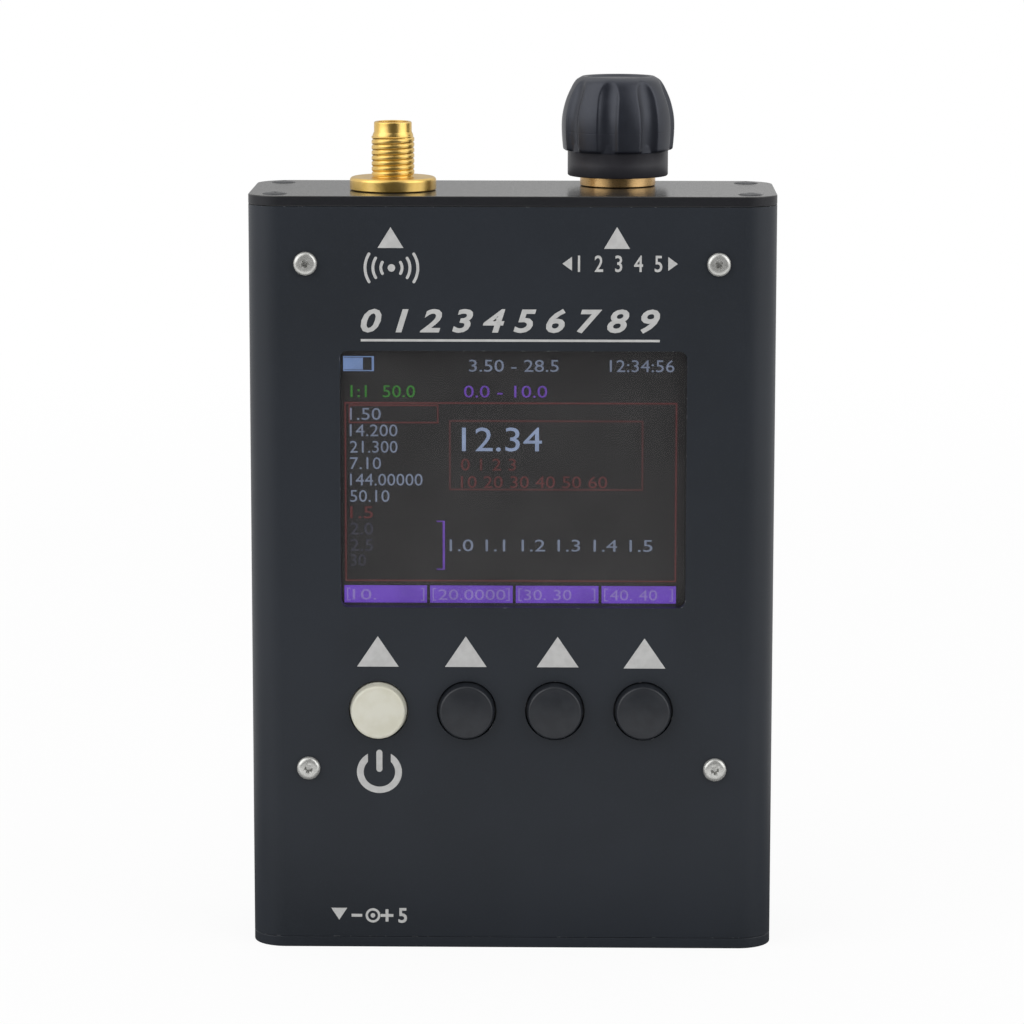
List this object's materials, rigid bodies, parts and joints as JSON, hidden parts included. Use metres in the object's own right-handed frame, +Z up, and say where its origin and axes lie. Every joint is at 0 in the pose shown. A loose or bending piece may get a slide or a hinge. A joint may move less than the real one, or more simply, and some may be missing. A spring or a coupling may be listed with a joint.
{
  "type": "antenna analyzer",
  "caption": "Handheld antenna analyzer: black metal case with end plates, colour display, round push keys, threaded RF jack and a fluted turn-and-push knob.",
  "frame": {"origin": "middle of the flat underside of the bottom end plate", "axes": "+X to the right seen from the front, -Y out of the front face (display and keys), +Z up to the RF jack and the knob"},
  "size_m": [0.0776, 0.0297, 0.1288],
  "materials": {
    "case_paint": "satin",
    "plate_screws": "satin",
    "front_screws": "polished",
    "gold_plate": "polished",
    "brass_spacers": "satin",
    "steel_parts": "satin",
    "switch_covers": "satin",
    "knob_black": "satin",
    "key_black": "satin",
    "key_cream": "satin",
    "black_plastic": "matte",
    "white_plastic": "matte",
    "window_clear": "polished",
    "display_face": "polished",
    "circuit_board": "satin",
    "amber_film": "satin",
    "foam": "matte",
    "battery_skin": "satin",
    "wire_skin": "satin",
    "print": "matte",
    "display_picture": "polished"
  },
  "bodies": {
    "case": {"front_shell": "case_paint", "rear_shell": "case_paint", "top_plate": "case_paint", "bottom_plate": "case_paint", "top_plate_screw_1": "plate_screws", "top_plate_screw_2": "plate_screws", "top_plate_screw_3": "plate_screws", "top_plate_screw_4": "plate_screws", "bottom_plate_screw_1": "plate_screws", "bottom_plate_screw_2": "plate_screws", "bottom_plate_screw_3": "plate_screws", "bottom_plate_screw_4": "plate_screws", "front_screw_1": "front_screws", "front_screw_2": "front_screws", "front_screw_3": "front_screws", "front_screw_4": "front_screws", "board_spacer_1": "brass_spacers", "board_spacer_2": "brass_spacers", "board_spacer_3": "brass_spacers", "board_spacer_4": "brass_spacers", "power_switch": "switch_covers", "key_1_switch": "switch_covers", "key_2_switch": "switch_covers", "key_3_switch": "switch_covers", "window_sheet": "window_clear", "display_glass": "display_face", "display_frame": "white_plastic", "display_ribbon": "amber_film", "main_board": "circuit_board", "rf_shield_can": "switch_covers", "processor_chip": "black_plastic", "battery": "battery_skin", "battery_pad": "foam", "battery_lead": "wire_skin", "battery_plug": "white_plastic", "charging_jack": "black_plastic", "charging_jack_pin": "steel_parts", "rf_jack_body": "gold_plate", "rf_jack_insulator": "white_plastic", "rf_jack_contact": "gold_plate", "rf_jack_washer": "steel_parts", "rf_jack_nut": "gold_plate", "coax_pigtail": "wire_skin", "encoder_washer": "steel_parts", "encoder_bushing": "steel_parts", "encoder_case": "black_plastic", "encoder_nut": "gold_plate", "encoder_ribbon": "amber_film"},
    "rotor": {"encoder_rotor": "white_plastic"},
    "knob": {"knob": "knob_black", "encoder_shaft": "steel_parts", "knob_spring_clip": "steel_parts"},
    "power_button": {"power_cap": "key_cream", "power_plunger": "black_plastic"},
    "key_1_button": {"key_1_cap": "key_black", "key_1_plunger": "black_plastic"},
    "key_2_button": {"key_2_cap": "key_black", "key_2_plunger": "black_plastic"},
    "key_3_button": {"key_3_cap": "key_black", "key_3_plunger": "black_plastic"}
  },
  "joints": [
    {"name": "knob_turn", "type": "hinge", "parent": "case", "child": "rotor", "pos_m": [0.0155, 0.0057, 0.111], "axis": [0, 0, 1], "continuous": true},
    {"name": "knob_push", "type": "slide", "parent": "rotor", "child": "knob", "axis": [0, 0, -1], "range_m": [0, 0.0005], "stiffness_N_per_m": 400, "springref_m": -0.002},
    {"name": "power_press", "type": "slide", "parent": "case", "child": "power_button", "axis": [0, 1, 0], "range_m": [0, 0.0003], "stiffness_N_per_m": 150, "springref_m": -0.001},
    {"name": "key_1_press", "type": "slide", "parent": "case", "child": "key_1_button", "axis": [0, 1, 0], "range_m": [0, 0.0003], "stiffness_N_per_m": 150, "springref_m": -0.001},
    {"name": "key_2_press", "type": "slide", "parent": "case", "child": "key_2_button", "axis": [0, 1, 0], "range_m": [0, 0.0003], "stiffness_N_per_m": 150, "springref_m": -0.001},
    {"name": "key_3_press", "type": "slide", "parent": "case", "child": "key_3_button", "axis": [0, 1, 0], "range_m": [0, 0.0003], "stiffness_N_per_m": 150, "springref_m": -0.001}
  ]
}
